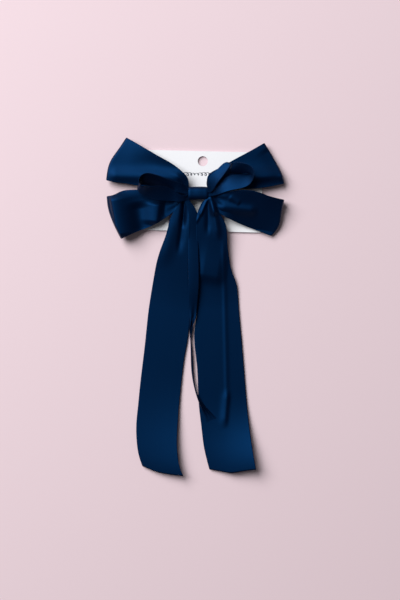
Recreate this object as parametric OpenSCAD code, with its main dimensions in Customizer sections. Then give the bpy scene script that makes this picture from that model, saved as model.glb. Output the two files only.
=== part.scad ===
// Satin ribbon hair bow on a sprung hair barrette, clipped to its display card.
// It lies on its back: +Z points away from the table and +Y towards the top of the card.
// The origin is under the knot, on the underside of the clasp arm.

/* [Ribbon] */
// Width of the ribbon that the big loops and the long tails are cut from
ribbon_w = 48; // [38:1:52]
// Width of the ribbon of the small inner bow
inner_ribbon_w = 20; // [16:1:24]
// Thickness of the satin ribbon
ribbon_t = 0.6; // [0.4:0.1:0.8]

/* [Loops] */
// Distance from the knot to the fold of the upper left loop
upper_left_reach = 86; // [70:1:105]
// Distance from the knot to the fold of the upper right loop
upper_right_reach = 79.5; // [65:1:100]
// Distance from the knot to the fold of the lower left loop
lower_left_reach = 85; // [70:1:105]
// Distance from the knot to the fold of the lower right loop
lower_right_reach = 80.5; // [65:1:100]
// Distance from the knot to the fold of each inner loop
inner_reach = 55; // [45:1:66]
// How far the front of a big loop swells above its fold
loop_puff = 7; // [3:0.5:9]

/* [Tails] */
// Length of the long tails, from the knot to the lower edge
tail_l = 272; // [220:1:340]
// Length of the short inner tail
inner_tail_l = 236; // [180:1:260]

/* [Knot] */
// Width of the strip that is wrapped round the knot
wrap_w = 19; // [15:1:24]
// Thickness of the wrapped strip
wrap_t = 0.6; // [0.4:0.1:0.9]
// Height of the gathered ribbon inside the wrap
gather_h = 11.4; // [10:0.2:14]

/* [Barrette] */
// Distance from the hinge pin to the catch
clasp_l = 49; // [41:1:54]
// Width of the steel back plate
plate_w = 7; // [6:0.5:8]
// Thickness of the steel plate
plate_t = 0.8; // [0.6:0.1:1]
// Diameter of the hinge pin
pin_d = 1.5; // [1.2:0.1:1.8]
// Thickness of the clasp arm
arm_t = 1.2; // [0.9:0.1:1.3]

/* [Card] */
// Width of the display card
card_w = 120; // [110:1:140]
// Height of the display card
card_h = 80; // [70:1:96]
// Thickness of the display card
card_t = 0.5; // [0.3:0.05:0.6]
// Diameter of the hole that hangs the card on a shop hook
hang_d = 10; // [6:0.5:12]

/* [Hidden] */
$fn = 48;

satin = "#0a2a57";
satin_dark = "#06193a";
steel = "#b9bcc2";
felt = "#10203c";
thread = "#0d2145";
board = "#f2f1ef";

// Clearances
layer_gap = 0.1;      // between layers that lie on each other
card_gap = 0.3;       // between the card and the steel on either side of it
pin_gap = 0.05;       // all round the hinge pin, in the arm that turns on it
turn_gap = 0.35;      // between pieces that move past each other
slit_gap = 1;         // between the card's slits and the steel that stands in them

// Heights above the table
card_z = arm_t + card_gap;
pin_z = arm_t + 2;
plate_z = pin_z + 2.6;
wrap_low_z = plate_z - layer_gap - wrap_t;
pad_t = 0.8;
pad_z = plate_z + plate_t + layer_gap;
gather_t = 0.9;
gather_step = gather_t + 2 * layer_gap;
thread_d = 0.5;
gather_z = pad_z + pad_t + layer_gap + thread_d + layer_gap;
function layer_z(i) = gather_z + gather_t / 2 + i * gather_step;
tail_layer_z = layer_z(4);
inner_low_z = layer_z(5);
inner_high_z = layer_z(6);
gather_top_z = inner_high_z + gather_t / 2;
wrap_top_z = gather_top_z + layer_gap + thread_d + layer_gap + wrap_t;
table_lift = 0.3;     // the tails lie just above the table

wrap_h = gather_h + 2 * (layer_gap + thread_d + layer_gap + wrap_t);
wrap_r = 1;           // inside corner of the wrap
pin_x = -clasp_l / 2;
catch_x = clasp_l / 2;

// ---- shared shapes ----

function mix(a, b, u) = a + (b - a) * u;
function clamp01(u) = min(1, max(0, u));
function ease(u) = let (c = clamp01(u)) c * c * (3 - 2 * c);
function heading(a) = [cos(a), sin(a)];
function unit(v) = v / norm(v);

// Solid ribbon through rows of [one edge point, other edge point, thickness].
// Each row's thickness points along the normal of the ribbon's face there.
module ribbon(rows, closed = false) {
    n = len(rows);
    middles = [for (r = rows) (r[0] + r[1]) / 2];
    normals = [for (i = [0:n - 1])
        let (before = closed ? middles[(i + n - 1) % n] : middles[max(i - 1, 0)],
             after = closed ? middles[(i + 1) % n] : middles[min(i + 1, n - 1)])
        unit(cross(after - before, rows[i][1] - rows[i][0]))];
    points = [for (i = [0:n - 1])
        let (a = rows[i][0], b = rows[i][1], half = normals[i] * rows[i][2] / 2)
        each [a + half, b + half, b - half, a - half]];
    sides = [for (i = [0:(closed ? n - 1 : n - 2)], k = [0:3])
        let (j = (i + 1) % n, m = (k + 1) % 4)
        each [[4 * i + k, 4 * j + m, 4 * i + m], [4 * i + k, 4 * j + k, 4 * j + m]]];
    last = 4 * (n - 1);
    ends = closed ? [] : [[0, 1, 2], [0, 2, 3],
                          [last, last + 2, last + 1], [last, last + 3, last + 2]];
    polyhedron(points, concat(sides, ends));
}

// Rectangle with round corners, centred, made of true arcs
module round_rect(w, h, r) {
    square([w - 2 * r, h], center = true);
    square([w, h - 2 * r], center = true);
    for (x = [-1, 1], y = [-1, 1])
        translate([x * (w / 2 - r), y * (h / 2 - r)]) circle(r);
}

// Band with round corners that lies round the gathered ribbon, its axis along X
module band(length, inside_h, low_z, high_z, t, r) {
    z_size = high_z - low_z;
    translate([-length / 2, 0, low_z + z_size / 2]) rotate([90, 0, 90]) linear_extrude(length)
        difference() {
            round_rect(inside_h + 2 * t, z_size, r + t);
            round_rect(inside_h, z_size - 2 * t, r);
        }
}

// ---- ribbon loops ----

tip_r = 2.6;          // the fold at a loop's outer end
tip_z = 8.6;          // height of a big loop's fold
back_puff = 2.6;      // how far a big loop's back sinks below its fold
wall_steps = 14;
tip_steps = 4;
edge_x = wrap_w / 2;
split_x = edge_x + 9; // where the upper and lower loops part
split_gap = 0.8;      // between the upper and lower loops there
split_u = 0.14;       // share of the wall inside that place
clear_u = 0.34;       // share of the wall that passes over the barrette

// A big loop: [reach, heading, slope of its fold line, share of the ribbon's width seen,
// sag of its lower edge, far edge's height at the split,
// share of the swell at its upper edge, share at its lower edge]
upper_left = [upper_left_reach, 157, 64.7, 1, 0, 21, 1, 0.2];
upper_right = [upper_right_reach, 21.6, 116.2, 0.96, 0, 21, 0.3, 0.1];
lower_left = [lower_left_reach, 196, 108.6, 0.95, 0, 14, 0.2, 0.9];
lower_right = [lower_right_reach, -17, 70.4, 0.84, 1.5, 16, 0.3, 0.8];

// Row of a big loop's wall. side is 1 at the front, -1 at the back; turn is 0 on a wall and
// swings to 90 at the outermost line of the fold.
function loop_row(loop, u, side, base_z, turn = 0) =
    let (way = heading(loop[1]), line = heading(loop[2]), hand = sign(way[0]), up = way[1] > 0,
         half = ribbon_w * loop[3] / 2,
         tip = (loop[0] + tip_r * sin(turn)) * way,
         inner = ease(u / split_u), outer = clamp01((u - split_u) / (1 - split_u)),
         high_in = [hand * edge_x, gather_h / 2],
         low_in = [hand * edge_x, -gather_h / 2],
         high_split = [hand * split_x, up ? loop[5] : 1 - split_gap / 2],
         low_split = [hand * split_x, up ? 1 + split_gap / 2 : -loop[5]],
         x = mix(hand * edge_x, hand * split_x, clamp01(u / split_u)),
         high = u < split_u ? [x, mix(high_in[1], high_split[1], inner)]
                            : mix(high_split, tip + half * line, outer),
         low = u < split_u ? [x, mix(low_in[1], low_split[1], inner)]
                           : mix(low_split, tip - half * line, outer),
         swell = pow(sin(180 * clamp01((u - clear_u) / (1 - clear_u))), 1.2),
         front_swell = pow(sin(180 * clamp01((u - split_u) / (1 - split_u))), 1.2),
         z = mix(base_z, tip_z + side * tip_r * cos(turn), ease((u - 0.2) / 0.8)),
         high_puff = side > 0 ? loop[6] * loop_puff * front_swell : -back_puff * swell,
         low_puff = side > 0 ? loop[7] * loop_puff * front_swell : -back_puff * swell)
    [[high[0], high[1], z + high_puff], [low[0], low[1], z + low_puff - loop[4] * ease(u) * side],
     mix(gather_t, ribbon_t, ease(5 * u))];

// One half of a closed strip: out along one wall, round the fold and back along the other
function loop_rows(loop, first_side, first_z, second_z) = concat(
    [for (i = [0:wall_steps]) loop_row(loop, i / wall_steps, first_side, first_z)],
    [for (i = [1:tip_steps - 1]) let (turn = 180 * i / tip_steps)
        loop_row(loop, 1, first_side * (turn > 90 ? -1 : 1),
                 first_z, turn > 90 ? 180 - turn : turn)],
    [for (i = [wall_steps:-1:0]) loop_row(loop, i / wall_steps, -first_side, second_z)]);

// A strip sewn into a ring and pinched in the middle, which makes a loop on each side of the knot
module loop_pair(left, right, low_layer) {
    back_z = layer_z(low_layer);
    front_z = layer_z(low_layer + 1);
    ribbon(concat(loop_rows(right, 1, front_z, back_z), loop_rows(left, -1, back_z, front_z)),
           closed = true);
}

module rear_loops() { color(satin_dark) loop_pair(lower_left, upper_right, 0); }

module front_loops() { color(satin) loop_pair(upper_left, lower_right, 2); }

// The small loops stand nearly on edge on top of the big ones. Seen from the front, the ribbon's
// back edge shows above its front edge on the right loop, and below it on the left loop.
inner_lean = 0.68;    // share of the inner ribbon's width that lies across the view
inner_right = [22, 10]; // heading of the right small loop, and half its opening
inner_left = [7, 4.2];
inner_clear = 1.2;    // how far the small loops rise off the gathered ribbon

function inner_row(hand, loop, u, side, base_z) =
    let (way = heading(hand > 0 ? loop[0] : 180 - loop[0]), across = [-way[1], way[0]] * hand,
         run = (inner_reach - edge_x) * u,
         middle = [hand * edge_x, 0] + run * way + side * loop[1] * sin(180 * u) * across,
         width = mix(gather_h, inner_ribbon_w, ease(2.4 * u)),
         lean = mix(1, inner_lean, ease(3.2 * u)),
         rise = sqrt(1 - lean * lean) * width,
         low_z = base_z + inner_clear * ease(2 * u),
         front_y = middle[1] - hand * lean * width / 2,
         back_y = middle[1] + hand * lean * width / 2,
         front = [middle[0], front_y, low_z + rise], back = [middle[0], back_y, low_z])
    [hand > 0 ? back : front, hand > 0 ? front : back, mix(gather_t, ribbon_t, ease(5 * u))];

function inner_rows(hand, loop, first_side, first_z, second_z) = concat(
    [for (i = [0:wall_steps - 1]) inner_row(hand, loop, i / wall_steps, first_side, first_z)],
    [inner_row(hand, loop, 1, 0, (first_z + second_z) / 2)],
    [for (i = [wall_steps - 1:-1:0]) inner_row(hand, loop, i / wall_steps, -first_side, second_z)]);

module inner_loops() {
    color(satin)
        ribbon(concat(inner_rows(1, inner_right, 1, inner_high_z, inner_low_z),
                      inner_rows(-1, inner_left, 1, inner_low_z, inner_high_z)), closed = true);
}

// ---- tails ----

hinge_out = 1.3;      // how far below the wrap the long tails start
hinge_up = 1;         // and how far above their gathered middle
hinge_y = -wrap_h / 2 - hinge_out;
hinge_z = tail_layer_z + hinge_up;

// Gathered middle of the strip that both long tails are cut from
module tail_gather() {
    color(satin_dark) translate([0, 0, tail_layer_z]) cube([wrap_w, gather_h, gather_t], center = true);
}

tail_steps = 22;
full_width_u = 0.42;  // share of the length over which the ribbon spreads out
landing_u = 0.28;     // share of the length over which it comes down to the table
cut_u = 0.2;          // share of the length over which its end goes askew
left_longer = 4;      // how much lower the left tail ends than the right one

// Row of a tail. Its line is [root x, x of its two guide points, end x, root width, full width].
function tail_row(line, length, u, lift, slant) =
    let (x = pow(1 - u, 3) * line[0] + 3 * u * pow(1 - u, 2) * line[1]
             + 3 * u * u * (1 - u) * line[2] + pow(u, 3) * line[3],
         y = mix(hinge_y, -length, u),
         half = mix(line[4], line[5], ease(u / full_width_u)) / 2,
         z = mix(hinge_z, table_lift + lift + ribbon_t / 2, ease(u / landing_u)),
         skew = slant * half * ease((u - 1 + cut_u) / cut_u))
    [[x - half, y + skew, z], [x + half, y - skew, z], mix(gather_t, ribbon_t, ease(6 * u))];

module tail(line, length, lift, slant) {
    ribbon([for (i = [0:tail_steps]) tail_row(line, length, i / tail_steps, lift, slant)]);
}

module left_tail() {
    color(satin)
        tail([-15.5, -23, -51, -35, 8, ribbon_w * 0.85], tail_l + left_longer, 0, 0.22);
}

module right_tail() {
    color(satin_dark)
        tail([14, 17, 21, 34.5, 9, ribbon_w * 0.97], tail_l, 0, 0);
}

// The short tail is folded lengthwise; it lies beside the right tail and then on it
module inner_tail() {
    color(satin)
        tail([0.5, -7.5, -9, 18, 7, 7], inner_tail_l, 1.6, 0);
}

// ---- knot ----

module knot_wrap() {
    color(satin)
        band(wrap_w, wrap_h - 2 * wrap_t, wrap_low_z, wrap_top_z, wrap_t, wrap_r);
}

// Four turns of sewing thread round the gathered ribbon
module gathering_thread() {
    turns = 4;
    pitch = 1.2;
    corner = 0.2;
    color(thread)
        for (i = [0:turns - 1])
            translate([(i - (turns - 1) / 2) * pitch, 0, 0])
                band(thread_d, gather_h + 2 * layer_gap, gather_z - layer_gap - thread_d,
                     gather_top_z + layer_gap + thread_d, thread_d, corner);
}

// Three hand stitches that close the wrap at its back
module wrap_stitches() {
    stitch_d = 0.4;
    stitch_l = 3;
    color(thread)
        for (y = [-2, 0, 2])
            translate([-stitch_l / 2, y, wrap_low_z - stitch_d / 2 - layer_gap / 2])
                rotate([0, 90, 0]) cylinder(h = stitch_l, d = stitch_d);
}

module felt_pad() {
    end_in = 3;
    side_out = 0.5;
    color(felt) translate([0, 0, pad_z]) linear_extrude(pad_t)
        round_rect(clasp_l - 2 * end_in, plate_w + 2 * side_out, plate_r);
}

// ---- barrette ----

plate_r = 2;          // corners of the plate and of the felt pad
ear_t = 0.7;
ear_r = 2;            // round end of an ear, about the pin
arm_play = 0.6;       // lets the arm's tip pass between the hooks
arm_w = plate_w - 2 * ear_t - 2 * turn_gap - arm_play;
heel_r = pin_d / 2 + pin_gap + 0.7;   // round end of the arm's ears, about the pin
heel_sweep = norm([heel_r, pin_z]);   // how far the arm's heel reaches as it turns
prong_w = 3;
tip_past = prong_w / 2;               // how far the arm runs past the middle of the catch

module across(width) {
    rotate([90, 0, 0]) translate([0, 0, -width / 2]) linear_extrude(width) children();
}

module barrette_plate() {
    end_in = 3.2;
    plate_l = clasp_l + 2 * end_in;
    prong_t = 0.6;
    hook_in = 1.2;
    hook_h = 0.4;
    color(steel) {
        difference() {
            union() {
                translate([0, 0, plate_z]) linear_extrude(plate_t) round_rect(plate_l, plate_w, plate_r);
                // ears that hold the pin
                for (side = [-1, 1])
                    translate([pin_x, side * (plate_w - ear_t) / 2, 0]) across(ear_t) {
                        translate([-ear_r, pin_z]) square([2 * ear_r, plate_z - pin_z + plate_t / 2]);
                        translate([0, pin_z]) circle(ear_r);
                    }
            }
            translate([pin_x, plate_w, pin_z]) rotate([90, 0, 0]) cylinder(h = 2 * plate_w, d = pin_d);
        }
        // catch: two prongs with hooks under the tip of the arm
        for (side = [-1, 1]) {
            translate([catch_x - prong_w / 2, side * (plate_w - prong_t) / 2 - prong_t / 2, 0])
                cube([prong_w, prong_t, plate_z + plate_t / 2]);
            translate([catch_x - prong_w / 2, side > 0 ? plate_w / 2 - hook_in : -plate_w / 2, 0])
                cube([prong_w, hook_in, hook_h]);
        }
    }
}

// Arched spring strip between the plate and the card
module tension_bar() {
    bar_t = 0.4;
    bar_w = 4;
    end_in = 5;
    bar_gap = 0.3;
    bar_l = clasp_l - 2 * end_in;
    low = card_z + card_t + card_gap;
    arch_h = plate_z - bar_gap - bar_t - low - wrap_t;
    chord = bar_l / 2;
    arch_r = (chord * chord + arch_h * arch_h) / (2 * arch_h);
    swing = asin(chord / arch_r);
    tab = 1.6;
    end_z = low + arch_h - bar_t / 2;
    color(steel) {
        translate([0, 0, low + arch_r]) across(bar_w) intersection() {
            difference() {
                circle(arch_r, $fn = 180);
                circle(arch_r - bar_t, $fn = 180);
            }
            polygon([[0, 0], 2 * arch_r * heading(-90 - swing), 2 * arch_r * heading(-90 + swing)]);
        }
        // ends that bear under the plate
        for (side = [-1, 1])
            translate([side * (chord - tab / 2) - tab / 2, -bar_w / 2, end_z])
                cube([tab, bar_w, plate_z - end_z]);
    }
}

module hinge_pin() {
    head_d = pin_d + 2 * 0.45;
    head_t = 0.35;
    color(steel) translate([pin_x, 0, pin_z]) rotate([90, 0, 0]) {
        cylinder(h = plate_w, d = pin_d, center = true);
        for (side = [-1, 1])
            translate([0, 0, side * (plate_w + head_t) / 2]) cylinder(h = head_t, d = head_d, center = true);
    }
}

// Flat strip with two ears on the pin, and a raised tip that snaps over the hooks
module clasp_arm() {
    tip_l = 4.5;
    tip_low = 0.6;
    tip_t = arm_t - 0.6;
    lap = 1;              // how far the tip lies on the strip
    heel_x = pin_x - heel_r;
    step_x = catch_x + tip_past - tip_l;
    color(steel) {
        translate([heel_x, -arm_w / 2, 0]) cube([step_x - heel_x, arm_w, arm_t]);
        translate([step_x - lap, -arm_w / 2, tip_low]) cube([tip_l + lap, arm_w, tip_t]);
        difference() {
            for (side = [-1, 1])
                translate([pin_x, side * (arm_w - ear_t) / 2, 0]) across(ear_t) {
                    translate([-heel_r, arm_t / 2]) square([2 * heel_r, pin_z - arm_t / 2]);
                    translate([0, pin_z]) circle(heel_r);
                }
            translate([pin_x, arm_w, pin_z]) rotate([90, 0, 0])
                cylinder(h = 2 * arm_w, d = pin_d + 2 * pin_gap);
        }
    }
}

// ---- card ----

card_x = 4;
card_y = 3;
card_r = 1.5;         // corners
card_turn = -1.3;     // the card hangs a little askew
hang_below = 10;      // from the top edge to the middle of the hole

module display_card() {
    slit_top = plate_w / 2 + 2 * slit_gap;
    slit_low = card_y - card_h / 2 - 1;
    prong_room = prong_w / 2 + slit_gap;
    color(board) rotate([0, 0, card_turn]) translate([0, 0, card_z]) linear_extrude(card_t) difference() {
        translate([card_x, card_y]) round_rect(card_w, card_h, card_r);
        translate([card_x, card_y + card_h / 2 - hang_below]) circle(hang_d / 2);
        // slits, open at the lower edge, that the steel slides out of
        for (span = [[pin_x - heel_sweep - 2 * turn_gap, pin_x + ear_r + slit_gap],
                     [catch_x - prong_room, catch_x + prong_room]])
            translate([span[0], slit_low]) square([span[1] - span[0], slit_top - slit_low]);
    }
}

rear_loops();
front_loops();
inner_loops();
tail_gather();
left_tail();
right_tail();
inner_tail();
knot_wrap();
gathering_thread();
wrap_stitches();
felt_pad();
barrette_plate();
tension_bar();
hinge_pin();
clasp_arm();
display_card();
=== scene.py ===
"""Looks of a navy satin hair bow on its sprung barrette and hang card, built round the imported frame.

The frame gives the steel parts, the card and the places of everything else. Every ribbon is a
surface worked out with numpy: an outline seen from above, and heights over it. Lengths in this
script are millimetres until a mesh is made.
"""

import logging
import math
from dataclasses import dataclass, field
from enum import Enum

import bpy
import numpy as np
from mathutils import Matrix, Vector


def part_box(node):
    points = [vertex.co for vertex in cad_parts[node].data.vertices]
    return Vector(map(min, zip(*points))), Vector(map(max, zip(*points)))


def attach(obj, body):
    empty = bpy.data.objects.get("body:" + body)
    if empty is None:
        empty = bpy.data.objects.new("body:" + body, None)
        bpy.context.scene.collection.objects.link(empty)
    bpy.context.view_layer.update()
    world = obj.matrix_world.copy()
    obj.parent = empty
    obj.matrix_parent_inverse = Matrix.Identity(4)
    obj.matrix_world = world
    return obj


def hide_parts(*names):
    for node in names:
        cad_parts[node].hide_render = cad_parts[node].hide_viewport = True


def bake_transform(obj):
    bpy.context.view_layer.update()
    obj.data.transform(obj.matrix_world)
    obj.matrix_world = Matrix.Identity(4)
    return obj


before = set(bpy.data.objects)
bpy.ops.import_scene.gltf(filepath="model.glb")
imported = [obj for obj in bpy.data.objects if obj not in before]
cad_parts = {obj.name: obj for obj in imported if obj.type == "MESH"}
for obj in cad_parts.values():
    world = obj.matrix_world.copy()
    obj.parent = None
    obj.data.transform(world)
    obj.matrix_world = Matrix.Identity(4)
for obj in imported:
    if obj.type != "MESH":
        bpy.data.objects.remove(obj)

LOG = logging.getLogger("hair_bow")
MM = 0.001
# The eye above the bow that the outlines are given for: the point that it looks down on, and its height
VIEW_CENTRE = np.array([2.0, -105.75])
VIEW_HEIGHT = 1416.7
# Small move of all outlines, which sets the knot on the barrette
OUTLINE_SHIFT = np.array([0.0, 0.75])
# Least height of the ribbon's middle surface over the table
FLOOR_GAP = 0.7
Points = tuple[tuple[float, ...], ...]
Colour = tuple[float, float, float, float]
Tree = bpy.types.NodeTree
Socket = bpy.types.NodeSocket


# ---------------------------------------------------------------- shapes


def smoothstep(x: np.ndarray) -> np.ndarray:
    """Returns 3x^2 - 2x^3 with x held between 0 and 1, a soft step."""
    c = np.clip(x, 0.0, 1.0)
    return c * c * (3.0 - 2.0 * c)


def natural_spline(knots: np.ndarray, values: np.ndarray, at: np.ndarray) -> np.ndarray:
    """Natural cubic spline through rows of values.

    The second derivatives solve the usual three-term system, with none at the two ends.

    Args:
        knots: Rising parameters, shape (k,).
        values: One row for each knot, shape (k, d).
        at: Parameters to read the spline at, shape (n,).

    Returns:
        The spline's rows at those parameters, shape (n, d).
    """
    k, y = np.asarray(knots, float), np.asarray(values, float)
    n, h = len(k), np.diff(k)
    system = np.eye(n)
    i = np.arange(1, n - 1)
    system[i, i - 1], system[i, i], system[i, i + 1] = h[:-1], 2 * (h[:-1] + h[1:]), h[1:]
    slope = np.diff(y, axis=0) / h[:, None]
    right = np.zeros_like(y)
    right[1:-1] = 6 * np.diff(slope, axis=0)
    m = np.linalg.solve(system, right)
    j = np.clip(np.searchsorted(k, at, side="right") - 1, 0, n - 2)
    t, hj = (np.asarray(at) - k[j])[:, None], h[j][:, None]
    linear = slope[j] - hj * (2 * m[j] + m[j + 1]) / 6
    return y[j] + t * linear + t**2 * m[j] / 2 + t**3 * (m[j + 1] - m[j]) / (6 * hj)


def smooth_line(points: Points, at: np.ndarray) -> np.ndarray:
    """Points on the smooth line through a few given ones, at shares 0 to 1 of its chord length."""
    p = np.array(points, float)
    chord = np.concatenate([[0.0], np.cumsum(np.linalg.norm(np.diff(p, axis=0), axis=1))])
    return natural_spline(chord / chord[-1], p, at)


def patch(top: np.ndarray, bottom: np.ndarray, inner: np.ndarray, outer: np.ndarray) -> np.ndarray:
    """Coons patch: the surface that blends four border lines, as a stretched membrane does.

    Args:
        top: Border at v = 0, shape (n, d), from the inner to the outer end.
        bottom: Border at v = 1, in the same direction.
        inner: Border at u = 0, shape (m, d), from top to bottom.
        outer: Border at u = 1, in the same direction.

    Returns:
        Grid of shape (n, m, d).
    """
    u = np.linspace(0, 1, len(top))[:, None, None]
    v = np.linspace(0, 1, len(inner))[None, :, None]
    ruled = (1 - v) * top[:, None] + v * bottom[:, None]
    crossed = (1 - u) * inner[None] + u * outer[None]
    corners = (1 - u) * ((1 - v) * top[0] + v * bottom[0]) + u * ((1 - v) * top[-1] + v * bottom[-1])
    return ruled + crossed - corners


@dataclass(frozen=True)
class Fold:
    """A soft ridge or valley in cloth that lies along a line seen from above.

    Its section is a bell curve with its own width on each side of the line.

    Attributes:
        start: One end of the line.
        end: The other end.
        height: Height of the ridge; a valley's is negative.
        left: Width of the flank to the left of the line, going from start to end.
        right: Width of the other flank.
        fade: Length over which it dies out past each end.
    """

    start: tuple[float, float]
    end: tuple[float, float]
    height: float
    left: float
    right: float
    fade: float = 6.0

    def lift(self, plan: np.ndarray) -> np.ndarray:
        """Returns the height that this fold adds at points of shape (..., 2)."""
        start, axis = np.array(self.start), np.subtract(self.end, self.start)
        length = float(np.linalg.norm(axis))
        axis = axis / length
        offset = plan - start
        along = offset @ axis
        across = offset @ np.array([-axis[1], axis[0]])
        flank = np.where(across > 0, self.left, self.right)
        ends = smoothstep(along / self.fade + 1) * smoothstep((length - along) / self.fade + 1)
        return self.height * np.exp(-((across / flank) ** 2)) * ends


def lifted(plan: np.ndarray, folds: tuple[Fold, ...]) -> np.ndarray:
    """Returns the sum of the heights of some folds over a grid."""
    return sum((f.lift(plan) for f in folds), np.zeros(plan.shape[:-1]))


# ---------------------------------------------------------------- meshes


def path_length(rows: np.ndarray) -> np.ndarray:
    """Returns the running length along the middle column of a grid, one value for each row."""
    middle = rows[:, rows.shape[1] // 2]
    return np.concatenate([[0.0], np.cumsum(np.linalg.norm(np.diff(middle, axis=0), axis=1))])


def grid_mesh(
    name: str, rows: np.ndarray, across: np.ndarray, closed: tuple[bool, bool]
) -> bpy.types.Object:
    """Makes a smooth quad mesh of a grid of points, with a UV map in millimetres.

    Each quad joins a grid point to its next along and its next across. A closed direction joins its
    last row or column to its first.

    Args:
        name: Name of the object.
        rows: Grid in millimetres, shape (n, m, 3).
        across: Place of each column across the cloth, in millimetres.
        closed: Whether the grid closes along its rows, and along its columns.

    Returns:
        The new object, at the origin.
    """
    n, m = rows.shape[:2]
    wrapped = np.concatenate([rows, rows[:1]]) if closed[0] else rows
    along = path_length(wrapped)
    step = float(across[1] - across[0])
    sideways = np.append(across, across[-1] + step) if closed[1] else across
    i, j = np.meshgrid(
        np.arange(n if closed[0] else n - 1), np.arange(m if closed[1] else m - 1), indexing="ij"
    )
    i, j = i.ravel(), j.ravel()
    corners = [(i, j), (i + 1, j), (i + 1, j + 1), (i, j + 1)]
    faces = np.stack([(a % n) * m + (b % m) for a, b in corners], axis=1)
    uv = np.stack([np.stack([sideways[b], along[a]], axis=1) for a, b in corners], axis=1)
    mesh = bpy.data.meshes.new(name)
    mesh.from_pydata((rows.reshape(-1, 3) * MM).tolist(), [], faces.tolist())
    layer = mesh.uv_layers.new(name="cloth_mm")
    layer.data.foreach_set("uv", uv.astype(np.float32).ravel())
    mesh.polygons.foreach_set("use_smooth", np.ones(len(faces), bool))
    mesh.validate()
    mesh.update()
    obj = bpy.data.objects.new(name, mesh)
    bpy.context.scene.collection.objects.link(obj)
    LOG.info("%s: %d faces, %.0f mm long", name, len(faces), along[-1])
    return obj


def thicken(obj: bpy.types.Object, thickness: float) -> None:
    """Gives a single cloth surface its thickness, half to each side, with a rim."""
    shell = obj.modifiers.new("thickness", "SOLIDIFY")
    shell.thickness = thickness * MM
    shell.offset = 0.0
    shell.use_even_offset = False


def tube(path: np.ndarray, radius: float, sides: int, closed: bool) -> np.ndarray:
    """Grid of a round thread carried along a path.

    Each ring lies square to the path, on two axes that are found from the path's direction and the
    vertical.

    Args:
        path: Centre line, shape (n, 3).
        radius: Radius of the thread.
        sides: Points in a ring.
        closed: Whether the path joins up.

    Returns:
        Grid of shape (n, sides, 3).
    """
    if closed:
        ahead = np.roll(path, -1, axis=0) - np.roll(path, 1, axis=0)
    else:
        ahead = np.gradient(path, axis=0)
    ahead /= np.linalg.norm(ahead, axis=1, keepdims=True)
    guide = np.broadcast_to(np.array([1.0, 0.02, 0.01]), path.shape)
    first = np.cross(ahead, guide)
    first /= np.linalg.norm(first, axis=1, keepdims=True)
    second = np.cross(ahead, first)
    turn = np.linspace(0, 2 * np.pi, sides, endpoint=False)[None, :, None]
    return path[:, None] + radius * (np.cos(turn) * first[:, None] + np.sin(turn) * second[:, None])


# ---------------------------------------------------------------- finishes


def linear(hex_colour: str) -> Colour:
    """Turns an sRGB hex colour such as "#0a2a57" into linear RGBA."""
    parts = [int(hex_colour[i : i + 2], 16) / 255 for i in (1, 3, 5)]
    rgb = [c / 12.92 if c <= 0.04045 else ((c + 0.055) / 1.055) ** 2.4 for c in parts]
    return (*rgb, 1.0)


def add_node(tree: Tree, kind: str, settings: dict) -> bpy.types.Node:
    """Adds a shader node.

    Args:
        tree: The node tree.
        kind: Blender's type name of the node, without the word ShaderNode before it.
        settings: Node properties by name, and values of input sockets by socket name or number. A
            value that is an output socket is linked to the input.

    Returns:
        The new node.
    """
    node = tree.nodes.new(f"ShaderNode{kind}")
    for key, value in settings.items():
        if isinstance(value, Socket):
            tree.links.new(value, node.inputs[key])
        elif isinstance(key, str) and hasattr(node, key):
            setattr(node, key, value)
        else:
            node.inputs[key].default_value = value
    return node


def noise(tree: Tree, vector: Socket, scale: float, detail: float, roughness: float = 0.5) -> Socket:
    """Adds a noise texture and returns its value."""
    settings = {"Scale": scale, "Detail": detail, "Roughness": roughness, "Vector": vector}
    return add_node(tree, "TexNoise", settings).outputs[0]


def waves(tree: Tree, vector: Socket, direction: str, pitch: float, distortion: float = 0.0) -> Socket:
    """Adds bands with a pitch in millimetres, and returns their value.

    Blender's bands are the sine of 20 times the place, so they repeat every 2 pi / 20.

    Args:
        tree: The node tree.
        vector: Place in millimetres.
        direction: Axis that the bands follow each other along.
        pitch: Distance from one band to the next.
        distortion: How far noise bends the bands.

    Returns:
        The bands, from 0 to 1.
    """
    settings = {"bands_direction": direction, "Scale": 2 * math.pi / 20 / pitch}
    node = add_node(tree, "TexWave", {**settings, "Distortion": distortion, "Vector": vector})
    return node.outputs[1]


def mixed(tree: Tree, share: Socket, first: Colour | Socket, second: Colour | Socket) -> Socket:
    """Adds a mix of two colours and returns it."""
    return add_node(tree, "Mix", {"data_type": "RGBA", 0: share, 6: first, 7: second}).outputs[2]


def bump(tree: Tree, height: Socket, strength: float, depth: float) -> Socket:
    """Adds relief of a depth in millimetres and returns its normals."""
    settings = {"Strength": strength, "Distance": depth * MM, "Height": height}
    return add_node(tree, "Bump", settings).outputs[0]


def new_material(name: str) -> tuple[bpy.types.Material, Tree]:
    """Makes a node material with nothing in its tree."""
    material = bpy.data.materials.new(name)
    material.use_nodes = True
    material.node_tree.nodes.clear()
    return material, material.node_tree


def close_material(tree: Tree, settings: dict) -> None:
    """Adds the principled shader with its settings, and joins it to the material's output."""
    shader = add_node(tree, "BsdfPrincipled", settings)
    add_node(tree, "OutputMaterial", {"Surface": shader.outputs[0]})


def dress(obj: bpy.types.Object, material: bpy.types.Material) -> None:
    """Gives a piece one material."""
    obj.data.materials.clear()
    obj.data.materials.append(material)


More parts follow.
